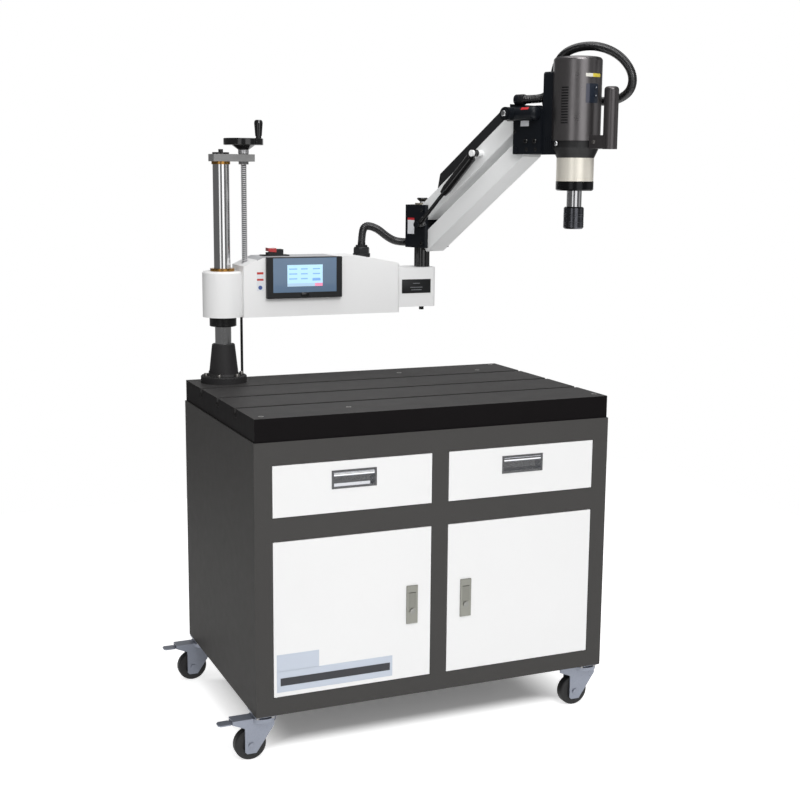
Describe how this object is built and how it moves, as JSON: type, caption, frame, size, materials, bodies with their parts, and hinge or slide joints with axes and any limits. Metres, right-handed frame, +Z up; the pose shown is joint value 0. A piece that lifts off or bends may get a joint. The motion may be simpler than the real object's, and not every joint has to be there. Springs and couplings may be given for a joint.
{
  "type": "arm tapping machine",
  "caption": "Arm tapping machine: a swinging parallel-link arm with a vertical tapping motor, on a crank-raised carriage on a column over a wheeled, T-slotted cabinet bench.",
  "frame": {"origin": "middle of the bench footprint, on the floor", "axes": "+X right along the bench front, +Y from front to back, +Z up"},
  "size_m": [1.0257, 0.7501, 1.6488],
  "materials": {
    "table_black": "fine milled, blackened",
    "cabinet_grey": "fine satin powder coat",
    "panel_white": "satin powder coat",
    "box_white": "satin powder coat",
    "chrome": "polished",
    "zinc": "zinc plated",
    "steel": "ground",
    "black_tyre": "matt",
    "blue_black": "satin",
    "bracket_grey": "satin",
    "bronze": "turned",
    "gloss_black": "polished",
    "link_grey": "satin powder coat",
    "cover_black": "satin",
    "motor_grey": "metallic satin",
    "champagne": "turned",
    "matt_black": "matt",
    "window": "clear, blue-grey",
    "red": "gloss",
    "green": "gloss",
    "lead_black": "matt"
  },
  "bodies": {
    "bench": {"table_top": "table_black", "cabinet_body": "cabinet_grey", "caster_plates": "zinc", "base_flange": "blue_black", "column_tube": "chrome", "lead_lower": "lead_black", "lead_coil": "lead_black", "mains_plug": "lead_black"},
    "drawer_left": {"drawer_left": "panel_white", "drawer_handle_left": "chrome"},
    "door_left": {"door_left": "panel_white"},
    "lock_left": {"lock_paddle_left": "steel"},
    "drawer_right": {"drawer_right": "panel_white", "drawer_handle_right": "chrome"},
    "door_right": {"door_right": "panel_white"},
    "lock_right": {"lock_paddle_right": "steel"},
    "fork_front_left": {"caster_fork_front_left": "zinc"},
    "wheel_front_left": {"caster_wheel_front_left": "black_tyre"},
    "lever_front_left": {"brake_lever_front_left": "zinc"},
    "fork_front_right": {"caster_fork_front_right": "zinc"},
    "wheel_front_right": {"caster_wheel_front_right": "black_tyre"},
    "fork_rear_left": {"caster_fork_rear_left": "zinc"},
    "wheel_rear_left": {"caster_wheel_rear_left": "black_tyre"},
    "lever_rear_left": {"brake_lever_rear_left": "zinc"},
    "fork_rear_right": {"caster_fork_rear_right": "zinc"},
    "wheel_rear_right": {"caster_wheel_rear_right": "black_tyre"},
    "turret": {"top_bracket": "bracket_grey", "top_bush": "bronze", "column_cap": "steel"},
    "screw": {"lead_screw": "steel", "handwheel": "gloss_black"},
    "crank": {"crank_grip": "gloss_black"},
    "carriage": {"carriage_housing": "box_white", "control_box_cover": "bracket_grey", "sleeve_bush": "bronze", "seal_ring": "blue_black", "lead_nut": "bronze", "screen_frame": "matt_black", "screen_glass": "window", "box_glands": "matt_black", "elbow_shaft": "steel", "hose_box": "matt_black", "lead_upper": "lead_black"},
    "rocker": {"switch_rocker": "red"},
    "elbow": {"elbow_bracket": "blue_black"},
    "knob": {"elbow_knob": "steel"},
    "lower_arm": {"lower_link": "link_grey"},
    "upper_arm": {"upper_link": "link_grey", "link_cover": "cover_black"},
    "spring_rod": {"spring_rod": "steel"},
    "spring_cylinder": {"spring_cylinder": "blue_black"},
    "head": {"head_bracket": "blue_black", "motor_body": "motor_grey", "gearbox_ring": "champagne", "handle_grip": "matt_black", "hose_head": "matt_black"},
    "spindle": {"spindle": "steel"},
    "chuck": {"chuck_sleeve": "steel"},
    "button_forward": {"button_forward": "green"},
    "button_reverse": {"button_reverse": "red"}
  },
  "joints": [
    {"name": "column_swing", "type": "hinge", "parent": "bench", "child": "turret", "pos_m": [-0.366, 0.2387, 1.3593], "axis": [0, 0, 1], "range_deg": [-60, 90], "deforming": ["lead_lower"]},
    {"name": "handwheel_turn", "type": "hinge", "parent": "turret", "child": "screw", "pos_m": [-0.3068, 0.2387, 1.3886], "axis": [0, 0, -1], "range_deg": [-2881, 16561]},
    {"name": "lift", "type": "slide", "parent": "turret", "child": "carriage", "axis": [0, 0, 1], "range_m": [-0.04, 0.23], "deforming": ["lead_upper"]},
    {"name": "crank_spin", "type": "hinge", "parent": "screw", "child": "crank", "pos_m": [-0.2668, 0.2387, 1.4171], "axis": [0, 0, 1], "continuous": true},
    {"name": "elbow_swing", "type": "hinge", "parent": "carriage", "child": "elbow", "pos_m": [0.19, 0.2387, 1.139], "axis": [0, 0, 1], "range_deg": [-40, 90], "deforming": ["hose_box"]},
    {"name": "elbow_knob_turn", "type": "hinge", "parent": "elbow", "child": "knob", "pos_m": [0.19, 0.2387, 1.26], "axis": [0, 0, 1], "range_deg": [0, 180]},
    {"name": "arm_lift", "type": "hinge", "parent": "elbow", "child": "lower_arm", "pos_m": [0.20686, 0.19698, 1.152], "axis": [-0.9272, -0.3746, 0], "range_deg": [-52, 14.7]},
    {"name": "upper_link_turn", "type": "hinge", "parent": "elbow", "child": "upper_arm", "pos_m": [0.20686, 0.19698, 1.2386], "axis": [-0.9272, -0.3746, 0], "range_deg": [-52, 14.7]},
    {"name": "head_level", "type": "hinge", "parent": "lower_arm", "child": "head", "pos_m": [0.32456, -0.09436, 1.39136], "axis": [-0.9272, -0.3746, 0], "range_deg": [-14.7, 52]},
    {"name": "spring_rod_turn", "type": "hinge", "parent": "elbow", "child": "spring_rod", "pos_m": [0.1516, 0.17357, 1.2008], "axis": [-0.9272, -0.3746, 0], "range_deg": [-50, 15]},
    {"name": "spring_cylinder_turn", "type": "hinge", "parent": "upper_arm", "child": "spring_cylinder", "pos_m": [0.22313, -0.00347, 1.38482], "axis": [-0.9272, -0.3746, 0], "range_deg": [-2, 4]},
    {"name": "spindle_turn", "type": "hinge", "parent": "head", "child": "spindle", "pos_m": [0.37993, -0.23138, 1.204], "axis": [0, 0, 1], "continuous": true},
    {"name": "chuck_release", "type": "slide", "parent": "spindle", "child": "chuck", "axis": [0, 0, 1], "range_m": [0, 0.006], "stiffness_N_per_m": 1500, "springref_m": -0.004},
    {"name": "button_forward_press", "type": "slide", "parent": "head", "child": "button_forward", "axis": [-0.2756, 0.9613, 0], "range_m": [0, 0.0008], "stiffness_N_per_m": 1500, "springref_m": -0.0005},
    {"name": "button_reverse_press", "type": "slide", "parent": "head", "child": "button_reverse", "axis": [-0.2756, 0.9613, 0], "range_m": [0, 0.0008], "stiffness_N_per_m": 1500, "springref_m": -0.0005},
    {"name": "rocker_press", "type": "hinge", "parent": "carriage", "child": "rocker", "pos_m": [-0.2365, 0.2387, 1.1273], "axis": [0, -1, 0], "range_deg": [0, 14]},
    {"name": "drawer_left_slide", "type": "slide", "parent": "bench", "child": "drawer_left", "axis": [0, -1, 0], "range_m": [0, 0.4]},
    {"name": "door_left_swing", "type": "hinge", "parent": "bench", "child": "door_left", "pos_m": [-0.4045, -0.3, 0.152], "axis": [0, 0, -1], "range_deg": [0, 105]},
    {"name": "lock_left_pull", "type": "hinge", "parent": "door_left", "child": "lock_left", "pos_m": [-0.07, -0.302, 0.36], "axis": [-1, 0, 0], "range_deg": [0, 30], "stiffness_Nm_per_rad": 0.15, "springref_deg": -8.59},
    {"name": "drawer_right_slide", "type": "slide", "parent": "bench", "child": "drawer_right", "axis": [0, -1, 0], "range_m": [0, 0.4]},
    {"name": "door_right_swing", "type": "hinge", "parent": "bench", "child": "door_right", "pos_m": [0.4045, -0.3, 0.152], "axis": [0, 0, 1], "range_deg": [0, 105]},
    {"name": "lock_right_pull", "type": "hinge", "parent": "door_right", "child": "lock_right", "pos_m": [0.07, -0.302, 0.36], "axis": [-1, 0, 0], "range_deg": [0, 30], "stiffness_Nm_per_rad": 0.15, "springref_deg": -8.59},
    {"name": "swivel_front_left", "type": "hinge", "parent": "bench", "child": "fork_front_left", "pos_m": [-0.4275, -0.264, 0.101], "axis": [0, 0, 1], "continuous": true},
    {"name": "roll_front_left", "type": "hinge", "parent": "fork_front_left", "child": "wheel_front_left", "pos_m": [-0.4585, -0.264, 0.0375], "axis": [0, 1, 0], "continuous": true},
    {"name": "brake_front_left", "type": "hinge", "parent": "fork_front_left", "child": "lever_front_left", "pos_m": [-0.4975, -0.264, 0.0927], "axis": [0, -1, 0], "range_deg": [0, 8]},
    {"name": "swivel_front_right", "type": "hinge", "parent": "bench", "child": "fork_front_right", "pos_m": [0.4275, -0.264, 0.101], "axis": [0, 0, 1], "continuous": true},
    {"name": "roll_front_right", "type": "hinge", "parent": "fork_front_right", "child": "wheel_front_right", "pos_m": [0.3965, -0.264, 0.0375], "axis": [0, 1, 0], "continuous": true},
    {"name": "swivel_rear_left", "type": "hinge", "parent": "bench", "child": "fork_rear_left", "pos_m": [-0.4275, 0.264, 0.101], "axis": [0, 0, 1], "continuous": true},
    {"name": "roll_rear_left", "type": "hinge", "parent": "fork_rear_left", "child": "wheel_rear_left", "pos_m": [-0.4585, 0.264, 0.0375], "axis": [0, 1, 0], "continuous": true},
    {"name": "brake_rear_left", "type": "hinge", "parent": "fork_rear_left", "child": "lever_rear_left", "pos_m": [-0.4975, 0.264, 0.0927], "axis": [0, -1, 0], "range_deg": [0, 8]},
    {"name": "swivel_rear_right", "type": "hinge", "parent": "bench", "child": "fork_rear_right", "pos_m": [0.4275, 0.264, 0.101], "axis": [0, 0, 1], "continuous": true},
    {"name": "roll_rear_right", "type": "hinge", "parent": "fork_rear_right", "child": "wheel_rear_right", "pos_m": [0.3965, 0.264, 0.0375], "axis": [0, 1, 0], "continuous": true}
  ],
  "couplings": [
    {"joint": "handwheel_turn", "follows": "lift", "rad_per_m": 1256.6},
    {"joint": "upper_link_turn", "follows": "arm_lift", "ratio": 1},
    {"joint": "head_level", "follows": "arm_lift", "ratio": -1},
    {"joint": "spring_rod_turn", "follows": "arm_lift", "ratio": 0.945},
    {"joint": "spring_cylinder_turn", "follows": "arm_lift", "ratio": -0.055}
  ]
}
